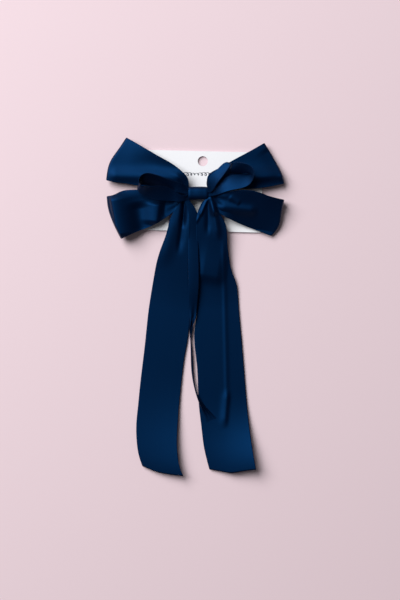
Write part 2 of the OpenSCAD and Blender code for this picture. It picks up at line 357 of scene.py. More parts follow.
@dataclass(frozen=True)
class SatinFinish:
    """Woven polyester satin ribbon.

    Filament warp floats over the weft, so the face is smooth and throws back light in a broad blue
    gleam while the cloth stays nearly black where it leans away. The weft shows as faint ribs across
    the ribbon, and each edge has a tighter, duller selvedge.

    Attributes:
        deep: Colour of the cloth itself.
        worn: Slightly lighter tone of the streaks along the warp.
        selvedge: Colour of the selvedge.
        gleam: Tint of the light that the filaments throw back.
        roughness: Roughness of the face.
        rib_pitch: Spacing of the weft ribs. The real pitch of 0.15 is too fine to show.
        filament_pitch: Spacing of the bundles of warp filaments.
        selvedge_w: Width of the selvedge.
        streak_scale: Scale of the streaks across the ribbon, along it and through it.
    """

    deep: str = "#000311"
    worn: str = "#000518"
    selvedge: str = "#000a20"
    gleam: str = "#1c78d2"
    roughness: float = 0.54
    rib_pitch: float = 0.45
    filament_pitch: float = 0.3
    selvedge_w: float = 0.9
    streak_scale: tuple[float, float, float] = (0.55, 0.012, 1.0)

    def make(self, name: str, width: float) -> bpy.types.Material:
        """Makes the material of a ribbon of one width, which reads its UV map in millimetres."""
        material, tree = new_material(name)
        uv = add_node(tree, "UVMap", {"uv_map": "cloth_mm"}).outputs[0]
        across = add_node(tree, "SeparateXYZ", {0: uv}).outputs[0]
        stretch = add_node(tree, "Mapping", {"Scale": self.streak_scale, "Vector": uv}).outputs[0]
        body = mixed(tree, noise(tree, stretch, 1.0, 3.0), linear(self.deep), linear(self.worn))
        # Selvedge: 0 at its inner side, rising to 1 at three tenths of its width from there
        middle = add_node(tree, "Math", {"operation": "SUBTRACT", 0: across, 1: width / 2}).outputs[0]
        away = add_node(tree, "Math", {"operation": "ABSOLUTE", 0: middle}).outputs[0]
        rise = {"From Min": width / 2 - self.selvedge_w, "From Max": width / 2 - self.selvedge_w * 0.7}
        edge = add_node(tree, "MapRange", {**rise, "Value": away}).outputs[0]
        # Weft ribs, and warp filaments across them
        ribs = waves(tree, uv, "Y", self.rib_pitch, 0.6)
        filaments = waves(tree, uv, "X", self.filament_pitch, 1.2)
        weave = add_node(tree, "Math", {"operation": "MULTIPLY", 0: ribs, 1: filaments}).outputs[0]
        relief = add_node(tree, "Math", {"operation": "ADD", 0: weave, 1: edge}).outputs[0]
        close_material(
            tree,
            {
                "Base Color": mixed(tree, edge, body, linear(self.selvedge)),
                "Normal": bump(tree, relief, 0.12, 0.06),
                "Roughness": self.roughness,
                "Specular IOR Level": 1.0,
                "Specular Tint": linear(self.gleam),
            },
        )
        return material


@dataclass(frozen=True)
class ThreadFinish:
    """Two-ply spun polyester sewing thread: matt, with the plies showing as slanted grooves."""

    colour: str = "#0a1f45"
    ply_pitch: float = 0.5

    def make(self) -> bpy.types.Material:
        """Makes the material, which reads the thread's UV map in millimetres."""
        material, tree = new_material("spun polyester sewing thread")
        uv = add_node(tree, "UVMap", {"uv_map": "cloth_mm"}).outputs[0]
        relief = bump(tree, waves(tree, uv, "DIAGONAL", self.ply_pitch), 0.8, 0.05)
        settings = {"Base Color": linear(self.colour), "Roughness": 0.85, "Sheen Weight": 0.3}
        close_material(tree, {**settings, "Normal": relief})
        return material


@dataclass(frozen=True)
class FeltFinish:
    """Pressed wool felt: tangled fibres with no weave, so it is matt, mottled and slightly fuzzy."""

    dark: str = "#0a1733"
    light: str = "#1a2d55"
    fibre: float = 0.6

    def make(self) -> bpy.types.Material:
        """Makes the material on object coordinates."""
        material, tree = new_material("pressed wool felt")
        place = add_node(tree, "TexCoord", {}).outputs["Object"]
        fibres = noise(tree, place, 1 / (self.fibre * MM), 8.0, 0.7)
        colour = mixed(tree, fibres, linear(self.dark), linear(self.light))
        settings = {"Roughness": 0.95, "Sheen Weight": 0.5, "Sheen Roughness": 0.6}
        close_material(tree, {**settings, "Base Color": colour, "Normal": bump(tree, fibres, 0.7, 0.12)})
        return material


@dataclass(frozen=True)
class SteelFinish:
    """Nickel-plated spring steel, tumbled after stamping.

    It is bright, with fine lines along the strip from rolling and slightly cloudy patches that hands
    leave.

    Attributes:
        bright: Colour of the clean plating.
        cloudy: Colour of the patches.
        line_pitch: Spacing of the lines.
        cloud: Size of the patches.
    """

    bright: str = "#c9c8c4"
    cloudy: str = "#aeaeac"
    line_pitch: float = 0.25
    cloud: float = 6.0

    def make(self) -> bpy.types.Material:
        """Makes the material on object coordinates."""
        material, tree = new_material("nickel-plated spring steel")
        place = add_node(tree, "TexCoord", {}).outputs["Object"]
        fine = 1 / (self.line_pitch * MM)
        stretch = add_node(tree, "Mapping", {"Scale": (0.04 / MM, fine, fine), "Vector": place}).outputs[0]
        lines = noise(tree, stretch, 1.0, 4.0)
        clouds = noise(tree, place, 1 / (self.cloud * MM), 3.0)
        rough = add_node(tree, "MapRange", {"To Min": 0.18, "To Max": 0.4, "Value": clouds}).outputs[0]
        colour = mixed(tree, clouds, linear(self.bright), linear(self.cloudy))
        settings = {"Metallic": 1.0, "Base Color": colour, "Roughness": rough}
        close_material(tree, {**settings, "Normal": bump(tree, lines, 0.15, 0.02)})
        return material


@dataclass(frozen=True)
class BoardFinish:
    """Clay-coated white folding board: smooth and nearly matt, with a trace of fibre under the coat."""

    white: str = "#f8f9fd"
    shade: str = "#f0f1f5"
    fibre: float = 1.5

    def make(self) -> bpy.types.Material:
        """Makes the material on object coordinates."""
        material, tree = new_material("clay-coated white board")
        place = add_node(tree, "TexCoord", {}).outputs["Object"]
        fibres = noise(tree, place, 1 / (self.fibre * MM), 6.0, 0.6)
        colour = mixed(tree, fibres, linear(self.white), linear(self.shade))
        settings = {"Roughness": 0.5, "Specular IOR Level": 0.4, "Base Color": colour}
        close_material(tree, {**settings, "Normal": bump(tree, fibres, 0.1, 0.03)})
        return material


def plain_finish(name: str, colour: str, roughness: float) -> bpy.types.Material:
    """Makes a plain material for printing ink or the floor."""
    material, tree = new_material(name)
    settings = {"Base Color": linear(colour), "Roughness": roughness, "Specular IOR Level": 0.2}
    close_material(tree, settings)
    return material


# ---------------------------------------------------------------- ribbon loops


class Wall(Enum):
    """The two sides of a ribbon loop that lies flat."""

    FRONT = "front"
    BACK = "back"


@dataclass(frozen=True)
class Gathers:
    """How one wall of a big loop is gathered beside the knot. Reaches are shares of its length.

    Attributes:
        tuck: How far its long edges are drawn in from the outline, as a share of its half width.
        soft: Share of the loop's soft pleats that this wall takes.
        fine: Height of the fine pleats.
        fine_reach: How far out the fine pleats go.
        opening: Where the cloth has opened from its layer inside the knot.
    """

    tuck: float
    soft: float
    fine: float
    fine_reach: float
    opening: float


GATHERS = {
    Wall.FRONT: Gathers(tuck=0.0, soft=1.0, fine=0.75, fine_reach=0.12, opening=0.07),
    Wall.BACK: Gathers(tuck=0.05, soft=0.15, fine=0.95, fine_reach=0.26, opening=0.2),
}


@dataclass(frozen=True)
class BigLoop:
    """One big loop of the bow, from the knot out to its fold and back.

    Seen from above it is a patch between its upper edge, its lower edge and its fold; u runs out from
    the knot and v from the upper edge to the lower one.

    Attributes:
        upper: Upper edge, from the knot to the fold.
        lower: Lower edge, from the knot to the fold.
        fold_line: Outline of the fold, from the upper edge to the lower one.
        root: Height of the front beside the knot.
        tip: Height of the front at the two ends of its fold, upper one first.
        puff: How far the front swells halfway out.
        crown: Share of the swell at the upper edge, in the middle and at the lower edge.
        folds: Soft folds in the front.
        root_z: Height of the front and of the back inside the knot.
        pleat: Height of the soft pleats by the knot.
        phase: Where the first pleat starts.
        fold_out: How far the fold stands out past the walls' ends.
        steps: Rows of each wall, which lie closer together by the knot.
        arc_steps: Rows round the fold.
        columns: Points across the ribbon.
    """

    upper: Points
    lower: Points
    fold_line: Points
    root: float
    tip: tuple[float, float]
    puff: float
    crown: tuple[float, float, float]
    folds: tuple[Fold, ...]
    root_z: tuple[float, float]
    pleat: float = 0.45
    phase: float = 0.0
    fold_out: float = 1.8
    steps: int = 110
    arc_steps: int = 9
    columns: int = 121

    BACK_Z = 3.4
    WALL_GAP = 1.2
    PLEATS = 3.5
    PLEAT_REACH = 0.22
    FINE_PLEATS = 15.0
    FINE_IN_KNOT = 0.42

    def shares(self) -> tuple[np.ndarray, np.ndarray]:
        """Returns u of a wall's rows and v of its columns."""
        return np.linspace(0, 1, self.steps) ** 1.25, np.linspace(0, 1, self.columns)

    def plan(self, tuck: float) -> np.ndarray:
        """Grid seen from above, shape (steps, columns, 2); tuck pulls its long edges inwards."""
        u, v = self.shares()
        top, bottom = smooth_line(self.upper, u), smooth_line(self.lower, u)
        middle = (top + bottom) / 2
        inset = 1 - tuck * smoothstep(u / 0.3)[:, None]
        top, bottom = middle + (top - middle) * inset, middle + (bottom - middle) * inset
        outer = smooth_line(self.fold_line, v)
        centre = outer.mean(axis=0)
        outer = centre + (outer - centre) * (1 - tuck)
        inner = top[0] + (bottom[0] - top[0]) * v[:, None]
        return patch(top, bottom, inner, outer)

    def swell(self, u: np.ndarray, v: np.ndarray) -> np.ndarray:
        """Height of the front: a soft step from root to tip, and a half sine wave of puff on it."""
        tip = self.tip[0] + (self.tip[1] - self.tip[0]) * v
        share = natural_spline(np.array([0.0, 0.5, 1.0]), np.array(self.crown)[:, None], v)[:, 0]
        run = smoothstep(u)[:, None]
        return self.root + (tip - self.root) * run + self.puff * np.sin(np.pi * u)[:, None] * share

    def wall(self, wall: Wall) -> np.ndarray:
        """Grid of one wall from the knot to where its fold begins, shape (steps, columns, 3)."""
        front, gathers = wall is Wall.FRONT, GATHERS[wall]
        plan = self.plan(gathers.tuck)
        outward = plan[-1] - plan[-8]
        outward /= np.linalg.norm(outward, axis=1, keepdims=True)
        share = np.linspace(0, 1, self.steps)[:, None, None] ** 4
        plan = plan - self.fold_out * outward[None] * share
        u, v = self.shares()
        heights = self.swell(u, v)
        root = self.root_z[0 if front else 1]
        # The back sinks to the card between three and seven tenths of the way out
        low = self.root_z[1] + (self.BACK_Z - self.root_z[1]) * smoothstep((u - 0.3) / 0.4)[:, None]
        body = low + 0 * heights
        if front:
            body = np.maximum(heights + lifted(plan, self.folds), low + self.WALL_GAP)
        pleats = np.cos(2 * np.pi * (self.PLEATS * v + self.phase))[None]
        fine = np.cos(2 * np.pi * (self.FINE_PLEATS * v + self.phase))[None]
        rise = smoothstep(u / 0.05) * np.exp(-((u / self.PLEAT_REACH) ** 2))
        body = body + self.pleat * gathers.soft * rise[:, None] * pleats
        near = np.exp(-((u / gathers.fine_reach) ** 2))[:, None]
        body = body + gathers.fine * near * fine
        blend = smoothstep(u / gathers.opening)[:, None]
        z = (1 - blend) * (root + self.FINE_IN_KNOT * fine) + blend * body
        return np.concatenate([plan, z[..., None]], axis=2)

    def rows(self) -> np.ndarray:
        """Grid out along the front, round the fold and back along the back."""
        front, back = self.wall(Wall.FRONT), self.wall(Wall.BACK)
        turn = np.linspace(0, np.pi, self.arc_steps + 2)[1:-1, None, None]
        start, end = front[-1], back[-1]
        outward = front[-1] - front[-6]
        outward[:, 2] = 0
        outward /= np.linalg.norm(outward, axis=1, keepdims=True)
        middle, half = (start + end) / 2, (start - end) / 2
        arc = middle + half * np.cos(turn) + self.fold_out * outward * np.sin(turn)
        return np.concatenate([front, arc, back[::-1]])


def ring_through_knot(right: np.ndarray, left: np.ndarray, steps: int) -> np.ndarray:
    """Joins two loops into one closed strip that passes twice through the knot.

    Args:
        right: Grid of the loop to the right of the knot, which ends where the strip crosses over.
        left: Grid of the loop to its left, which starts where the strip arrives.
        steps: Rows of each crossing, with the two that it joins.

    Returns:
        Grid whose last row meets its first.
    """
    share = np.linspace(0, 1, steps)[1:-1, None, None]
    over = right[-1] + (left[0] - right[-1]) * share
    back = left[-1] + (right[0] - left[-1]) * share
    return np.concatenate([right, over, left, back])


@dataclass(frozen=True)
class SmallLoop:
    """One small loop, whose ribbon stands nearly on its edge.

    It is given by its two rims as seen from above: the front rim, which is the higher one, and the
    back rim, each with (x, y, height) points that run out along the upper wall and back along the
    lower one. The ribbon is ruled between them, with a slight bulge outwards.

    Attributes:
        front_rim: Points of the front rim.
        back_rim: Points of the back rim.
        steps: Rows along the ribbon.
        columns: Points across the ribbon.
        bulge: How far its middle stands outwards.
        bulge_in: Share of the length over which the bulge grows.
        pleat: Height of the pleats by the knot.
        pleat_reach: Share of the length that they reach.
        pleats: Number of pleats.
    """

    front_rim: Points
    back_rim: Points
    steps: int = 140
    columns: int = 97
    bulge: float = 0.9
    bulge_in: float = 0.15
    pleat: float = 0.5
    pleat_reach: float = 0.1
    pleats: int = 9

    def rows(self) -> np.ndarray:
        """Grid from the knot, round the loop and back, shape (steps, columns, 3)."""
        at = np.linspace(0, 1, self.steps)
        high, low = smooth_line(self.front_rim, at), smooth_line(self.back_rim, at)
        v = np.linspace(0, 1, self.columns)[None, :, None]
        rows = low[:, None] + (high - low)[:, None] * v
        ahead = np.gradient((high + low) / 2, axis=0)
        sideways = np.stack([ahead[:, 1], -ahead[:, 0], 0 * ahead[:, 0]], axis=1)
        sideways /= np.linalg.norm(sideways, axis=1, keepdims=True)
        grown = smoothstep(at / self.bulge_in) * smoothstep((1 - at) / self.bulge_in)
        swell = self.bulge * grown[:, None, None] * np.sin(np.pi * v) * sideways[:, None]
        near = np.exp(-((np.minimum(at, 1 - at) / self.pleat_reach) ** 2))[:, None, None]
        pleats = self.pleat * near * np.cos(2 * np.pi * self.pleats * v) * np.array([0.0, 0.0, 1.0])
        return rows + swell + pleats


# ---------------------------------------------------------------- tails


@dataclass(frozen=True)
class WideTail:
    """A long tail: a patch between its left edge, its right edge and its cut end.

    Attributes:
        left: Left edge seen from above, from the knot down.
        right: Right edge.
        cut: Cut end, from left to right.
        root: Height beside the knot.
        landing: Length over which the tail comes down to the card and the table.
        end_lift: How far the left and right corners of its cut end stand up.
        lift_from: Length at which the end starts to rise.
        folds: Soft folds.
        length: Length of the tail.
        rest_z: Height at which it lies on the card and the table.
        steps: Rows along the tail, which lie closer together by the knot.
        columns: Points across the ribbon.
    """

    left: Points
    right: Points
    cut: Points
    root: float
    landing: float
    end_lift: tuple[float, float]
    lift_from: float
    folds: tuple[Fold, ...]
    length: float = 285.0
    rest_z: float = 1.8
    steps: int = 300
    columns: int = 65

    def rows(self) -> np.ndarray:
        """Grid from the knot down, shape (steps, columns, 3)."""
        u = np.linspace(0, 1, self.steps)
        u = 0.6 * u + 0.4 * u**2
        v = np.linspace(0, 1, self.columns)
        left, right = smooth_line(self.left, u), smooth_line(self.right, u)
        inner = left[0] + (right[0] - left[0]) * v[:, None]
        plan = patch(left, right, inner, smooth_line(self.cut, v))
        down = 1 - smoothstep(u * self.length / self.landing)
        end = smoothstep((u * self.length - self.lift_from) / (self.length - self.lift_from))
        end_z = self.end_lift[0] + (self.end_lift[1] - self.end_lift[0]) * v
        z = self.rest_z + (self.root - self.rest_z) * down[:, None] + end[:, None] ** 1.5 * end_z
        z = np.maximum(z + lifted(plan, self.folds) * smoothstep(u / 0.03)[:, None], FLOOR_GAP)
        return np.concatenate([plan, z[..., None]], axis=2)


@dataclass(frozen=True)
class NarrowTail:
    """The short tail. It is folded in half lengthwise, then bunched to a thin strand, then flat.

    Each station is (y, left x, right x, height, share folded in half, share bunched). A section's
    points are the weighted sum of three shapes: a half fold, whose two layers meet at its right
    side; a bunch of three narrow pleats; and a flat strip.

    Attributes:
        stations: The stations, from the knot down.
        steps: Rows along the tail.
        columns: Points across the ribbon.
        fold_gap: Half the gap between the two layers of the half fold.
        pleat: Height of the bunch's pleats.
        pleats: Number of pleats in the bunch.
    """

    stations: Points
    steps: int = 280
    columns: int = 49
    fold_gap: float = 0.7
    pleat: float = 3.1
    pleats: int = 3

    def rows(self) -> np.ndarray:
        """Grid from the knot down, shape (steps, columns, 3)."""
        table = np.array(self.stations)
        depth = -table[:, 0]
        at = np.linspace(depth[0], depth[-1], self.steps)
        y, left, right, z, folded, bunched = natural_spline(depth, table, at).T[:, :, None]
        folded, bunched = np.clip(folded, 0, 1), np.clip(bunched, 0, 1)
        v = np.linspace(0, 1, self.columns)[None]
        half_x = np.where(v < 0.5, 2 * v, 2 - 2 * v)
        share_x = folded * half_x + (1 - folded) * v
        half_z = self.fold_gap * np.cos(np.pi * v)
        bunch_z = self.pleat * (0.5 - 0.5 * np.cos(2 * np.pi * self.pleats * v))
        x = left + (right - left) * share_x
        height = z + folded * half_z + bunched * bunch_z
        return np.stack([x, np.broadcast_to(y, x.shape), height], axis=2)


# ---------------------------------------------------------------- the bow's parts


def from_above(rows: np.ndarray) -> np.ndarray:
    """Moves points from where they are seen to where they are.

    Outlines are given as seen by an eye above the object's middle, which sees a raised point further
    out than it is: place = centre + (seen - centre) (1 - height / eye's height).
    """
    plan = rows[..., :2] + OUTLINE_SHIFT
    near = 1 - rows[..., 2:] / VIEW_HEIGHT
    return np.concatenate([VIEW_CENTRE + (plan - VIEW_CENTRE) * near, rows[..., 2:]], axis=-1)


@dataclass(frozen=True)
class Ribbon:
    """A kind of ribbon: its width and its thickness, in a satin finish."""

    width: float
    thickness: float
    satin: SatinFinish = SatinFinish()

    def piece(self, name: str, node: str, label: str, rows: np.ndarray, ring: bool) -> bpy.types.Object:
        """Makes a piece of this ribbon that stands for a CAD node.

        Args:
            name: Name of the piece.
            node: The node that it stands for.
            label: Words that tell its material from the others.
            rows: Grid of the ribbon's middle surface.
            ring: Whether the ribbon's ends are joined.

        Returns:
            The piece, with its thickness and its satin.
        """
        obj = grid_mesh(name, rows, np.linspace(0, self.width, rows.shape[1]), (ring, False))
        thicken(obj, self.thickness)
        dress(obj, self.satin.make(f"navy satin ribbon, {label}", self.width))
        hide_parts(node)
        return obj


WIDE = Ribbon(48.0, 0.35)
NARROW = Ribbon(20.0, 0.3)
# Gathered so tightly that it is drawn thinner, which keeps its layers apart
GATHERED = Ribbon(48.0, 0.12)
# Narrow ribbon folded double
DOUBLED = Ribbon(20.0, 0.45)


@dataclass
class Loops:
    """The two strips of wide ribbon that make the four big loops, and the small loops' strip."""

    upper_left: BigLoop
    upper_right: BigLoop
    lower_left: BigLoop
    lower_right: BigLoop
    small_right: SmallLoop
    small_left: SmallLoop

    def build(self) -> None:
        """Builds the three rings of ribbon. A left big loop is walked from its back to its front."""
        front = ring_through_knot(self.lower_right.rows(), self.upper_left.rows()[::-1], 14)
        rear = ring_through_knot(self.upper_right.rows(), self.lower_left.rows()[::-1], 14)
        inner = ring_through_knot(self.small_right.rows(), self.small_left.rows(), 12)
        self.strip("front_loops", front, WIDE)
        self.strip("rear_loops", rear, WIDE)
        self.strip("inner_loops", inner, NARROW)

    def strip(self, name: str, rows: np.ndarray, ribbon: Ribbon) -> None:
        """Makes one closed ring and says what cloth it is."""
        obj = ribbon.piece(f"{name}_ribbon", name, name, from_above(rows), ring=True)
        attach(obj, "bow")


@dataclass
class Tails:
    """The two long tails, the short one and the gathered cloth between the long ones."""

    left: WideTail
    right: WideTail
    short: NarrowTail
    bend_from: float = -3.0
    bend_to: float = -20.0
    gather_pleats: int = 26

    def build(self) -> None:
        """Builds the tails and the gathered cloth."""
        self.tail("left_tail", self.left.rows(), WIDE)
        self.tail("right_tail", self.right.rows(), WIDE)
        self.tail("inner_tail", self.short.rows(), NARROW)
        self.gather()

    def tail(self, name: str, rows: np.ndarray, ribbon: Ribbon) -> None:
        """Makes one tail."""
        obj = ribbon.piece(f"{name}_cloth", name, name, from_above(rows), ring=False)
        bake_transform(obj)

    def gather(self) -> None:
        """Makes the pleated cloth inside the knot: z is a cosine of the place across it."""
        low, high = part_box("tail_gather")
        x = np.linspace(low.x, high.x, 12)[:, None] / MM
        y = np.linspace(low.y, high.y, self.gather_pleats * 8 + 1)[None] / MM
        middle, half = (low.z + high.z) / 2 / MM, (high.z - low.z) / 2 / MM
        turns = np.linspace(0, self.gather_pleats, y.shape[1])[None]
        z = middle + (half - GATHERED.thickness) * np.cos(2 * np.pi * turns) + 0 * x
        rows = np.stack([x + 0 * y, y + 0 * x, z], axis=2)
        obj = GATHERED.piece("tail_gather_cloth", "tail_gather", "tail gather", rows, ring=False)
        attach(obj, "bow")


@dataclass
class Knot:
    """The wrap that covers the gathered middle, the thread under it, and its stitches.

    Attributes:
        thread: Finish of the thread and the stitches.
        front_power: Power of the wrap's section in front.
        back_power: Power of its section behind, where it lies flat on the barrette.
        crease: Height of the creases across the wrap.
        creases: Number of creases.
        rim_in: How far the wrap's rims draw in.
        rim_share: Share of the width over which they do.
        thread_inset: How far inside the wrap's outline the thread is wound.
        thread_r: Radius of the thread.
        turns: Turns of the thread.
        stitches: Places of the stitches along the barrette's width.
    """

    thread: ThreadFinish = field(default_factory=ThreadFinish)
    front_power: float = 2.7
    back_power: float = 6.0
    crease: float = 0.1
    creases: float = 1.6
    rim_in: float = 0.35
    rim_share: float = 0.06
    thread_inset: float = 1.35
    thread_r: float = 0.25
    turns: int = 4
    stitches: tuple[float, ...] = (-2.0, 0.0, 2.0)

    def outline(self, angle: np.ndarray, inset: np.ndarray | float) -> tuple[np.ndarray, np.ndarray]:
        """Section of the wrap, a superellipse that is rounder in front than behind.

        |y/b|^p + |z/a|^p = 1, where the power p is smaller in front.

        Args:
            angle: Angles round the section.
            inset: How far inside the wrap's box the line lies.

        Returns:
            The y and z of the points.
        """
        low, high = (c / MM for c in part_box("knot_wrap"))
        power = np.where(np.sin(angle) > 0, self.front_power, self.back_power)
        half_y, half_z = (high.y - low.y) / 2 - inset, (high.z - low.z) / 2 - inset
        y = half_y * np.sign(np.cos(angle)) * np.abs(np.cos(angle)) ** (2 / power)
        z = half_z * np.sign(np.sin(angle)) * np.abs(np.sin(angle)) ** (2 / power)
        return y, (low.z + high.z) / 2 + z

    def wrap(self) -> None:
        """Makes the wrap, with creases across it that are deeper near its rims."""
        low, high = (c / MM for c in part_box("knot_wrap"))
        angle = np.linspace(0, 2 * np.pi, 144, endpoint=False)[:, None]
        x = np.linspace(low.x, high.x, 41)[None]
        share = (x - x[0, 0]) / (high.x - low.x)
        wander = 0.8 * np.sin(angle)
        crease = self.crease * np.cos(2 * np.pi * self.creases * share + wander) * (0.6 + share * 0.4)
        rim = self.rim_in * np.exp(-((share / self.rim_share) ** 2))
        rim = rim + self.rim_in * np.exp(-(((1 - share) / self.rim_share) ** 2))
        y, z = self.outline(angle, DOUBLED.thickness + self.crease - crease + rim)
        rows = np.stack([x + 0 * y, y, z], axis=2)
        obj = DOUBLED.piece("knot_wrap_ribbon", "knot_wrap", "knot wrap", rows, ring=True)
        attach(obj, "bow")

    def threads(self) -> None:
        """Makes the thread that is wound round the gathers, and the three stitches behind."""
        low, high = (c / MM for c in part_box("gathering_thread"))
        t = np.linspace(0, 1, 400)
        y, z = self.outline(2 * np.pi * self.turns * t - np.pi / 2, self.thread_inset)
        path = np.stack([low.x + 0.3 + (high.x - low.x - 0.6) * t, y, z], axis=1)
        self.thread_piece("gathering_thread", tube(path, self.thread_r, 10, closed=False))
        low, high = (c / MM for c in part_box("wrap_stitches"))
        t = np.linspace(-1, 1, 13)
        dip = (high.z - low.z) * 0.5
        stitches = [
            np.stack([high.x * t, y + 0.25 * t, low.z + self.thread_r + dip * t**4], axis=1)
            for y in self.stitches
        ]
        rows = np.concatenate([tube(s, self.thread_r * 0.8, 10, closed=False) for s in stitches])
        self.thread_piece("wrap_stitches", rows, breaks=len(self.stitches))

    def thread_piece(self, node: str, rows: np.ndarray, breaks: int = 1) -> None:
        """Makes a piece of one or several equal lengths of thread that stands for a CAD node."""
        parts = [
            grid_mesh(f"{node}_{i}", r, np.linspace(0, 1.4, r.shape[1]), (False, True))
            for i, r in enumerate(np.split(rows, breaks))
        ]
        material = self.thread.make()
        for part in parts:
            dress(part, material)
            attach(part, "bow")
        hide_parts(node)

    def build(self) -> None:
        """Builds the knot's pieces."""
        self.wrap()
        self.threads()


@dataclass
class Barrette:
    """The sprung steel barrette behind the knot, with its felt pad.

    Attributes:
        steel: Finish of the steel parts.
        felt: Finish of the pad.
        steel_nodes: The steel parts.
        end_draw: How far the pad's corners draw in along it, as a share of half its length.
        end_power: Power that keeps this to the corners.
        side_draw: How far the corners draw in across it, as a share of half its width.
        side_power: Power that keeps this to the corners.
    """

    steel: SteelFinish = field(default_factory=SteelFinish)
    felt: FeltFinish = field(default_factory=FeltFinish)
    steel_nodes: tuple[str, ...] = ("barrette_plate", "tension_bar", "hinge_pin", "clasp_arm")
    end_draw: float = 0.06
    end_power: float = 9.0
    side_draw: float = 0.35
    side_power: float = 28.0

    def build(self) -> None:
        """Dresses the steel and makes the pad."""
        steel = self.steel.make()
        for name in self.steel_nodes:
            dress(bpy.data.objects[name], steel)
        low, high = (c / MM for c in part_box("felt_pad"))
        s, t = np.meshgrid(np.linspace(-1, 1, 61), np.linspace(-1, 1, 17), indexing="ij")
        # Square grid pressed to a round-cornered strip: each point is drawn in by its other coordinate
        x = high.x * s * (1 - self.end_draw * np.abs(t) ** self.end_power * s**2)
        y = high.y * t * (1 - self.side_draw * np.abs(s) ** self.side_power * t**2)
        z = np.full_like(x, (low.z + high.z) / 2)
        rows = np.stack([x, y, z], axis=2)
        pad = grid_mesh("felt_pad_strip", rows, np.linspace(0, 8, 17), (False, False))
        thicken(pad, float(high.z - low.z) - 0.05)
        dress(pad, self.felt.make())
        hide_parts("felt_pad")
        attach(pad, "bow")


@dataclass
class Card:
    """The hang card, with a plain printed scroll across it.

    Attributes:
        board: Finish of the card.
        ink: Colour of the print.
        scroll_y: Height of the scroll up the card.
        scroll_from: Left end of the scroll.
        scroll_to: Right end.
        coil: Radius of its coils.
        pitch: Distance from one coil to the next.
        stroke: Half width of the stroke, and what is added to it where the stroke goes down.
        ink_z: Height of the ink over the card.
    """

    board: BoardFinish = field(default_factory=BoardFinish)
    ink: str = "#23263c"
    scroll_y: float = 20.0
    scroll_from: float = -34.0
    scroll_to: float = 44.0
    coil: float = 1.7
    pitch: float = 3.6
    stroke: tuple[float, float] = (0.2, 0.34)
    ink_z: float = 0.03

    def build(self) -> None:
        """Dresses the card and prints the scroll.

        The scroll is a looped cycloid: x = s + r sin(a), y = r cos(a), with a thicker stroke where it
        goes down.
        """
        dress(bpy.data.objects["display_card"], self.board.make())
        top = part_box("display_card")[1].z / MM
        s = np.linspace(self.scroll_from, self.scroll_to, 900)
        a = 2 * np.pi * (s - s[0]) / self.pitch
        swell = 0.75 + 0.25 * np.sin(a / 5)
        x, y = s + self.coil * swell * np.sin(a), self.scroll_y + self.coil * swell * np.cos(a)
        along = np.gradient(np.stack([x, y], axis=1), axis=0)
        along /= np.linalg.norm(along, axis=1, keepdims=True)
        normal = np.stack([-along[:, 1], along[:, 0]], axis=1)
        stroke = self.stroke[0] + self.stroke[1] * np.clip(-along[:, 1], 0, 1)
        edges = [np.stack([x, y], axis=1) + side * stroke[:, None] * normal for side in (-1, 1)]
        rows = np.stack(edges, axis=1)
        rows = np.concatenate([rows, np.full((*rows.shape[:2], 1), top + self.ink_z)], axis=2)
        obj = grid_mesh("card_scroll", rows, np.array([0.0, 0.3]), (False, False))
        dress(obj, plain_finish("dark printing ink", self.ink, 0.6))
        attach(obj, "card")


# ---------------------------------------------------------------- stage


@dataclass
class Stage:
    """Pale floor, one big soft light from the upper left, and a straight-down camera."""

    floor: str = "#e9d3da"
    floor_size: float = 6.0
    key_at: tuple[float, float, float] = (-1.67, 1.4, 2.33)
    key_size: float = 2.5
    key_power: float = 152.0
    world: str = "#f4f2f6"
    world_strength: float = 0.09
    lens: float = 85.0

    def build(self) -> None:
        """Builds the floor, the lights and the camera."""
        half = self.floor_size / 2
        mesh = bpy.data.meshes.new("floor")
        corners = [(-half, -half, 0), (half, -half, 0), (half, half, 0), (-half, half, 0)]
        mesh.from_pydata(corners, [], [(0, 1, 2, 3)])
        floor = bpy.data.objects.new("floor", mesh)
        floor.location = (0, 0, -0.0002)
        floor.data.materials.append(plain_finish("pale pink paper", self.floor, 0.9))
        light = bpy.data.lights.new("key", "AREA")
        light.energy, light.size = self.key_power, self.key_size
        key = bpy.data.objects.new("key", light)
        key.location = self.key_at
        aim = Vector((0, -0.05, 0)) - key.location
        key.rotation_euler = aim.to_track_quat("-Z", "Y").to_euler()
        camera = bpy.data.objects.new("camera", bpy.data.cameras.new("camera"))
        camera.data.lens, camera.data.sensor_width = self.lens, 36.0
        camera.location = (VIEW_CENTRE[0] * MM, VIEW_CENTRE[1] * MM, VIEW_HEIGHT * MM)
        for obj in (floor, key, camera):
            bpy.context.scene.collection.objects.link(obj)
        scene = bpy.context.scene
        scene.camera = camera
        scene.view_settings.view_transform = "Standard"
        world = bpy.data.worlds.new("soft room")
        world.use_nodes = True
        back = world.node_tree.nodes["Background"]
        back.inputs[0].default_value = linear(self.world)
        back.inputs[1].default_value = self.world_strength
        scene.world = world


# ---------------------------------------------------------------- sizes


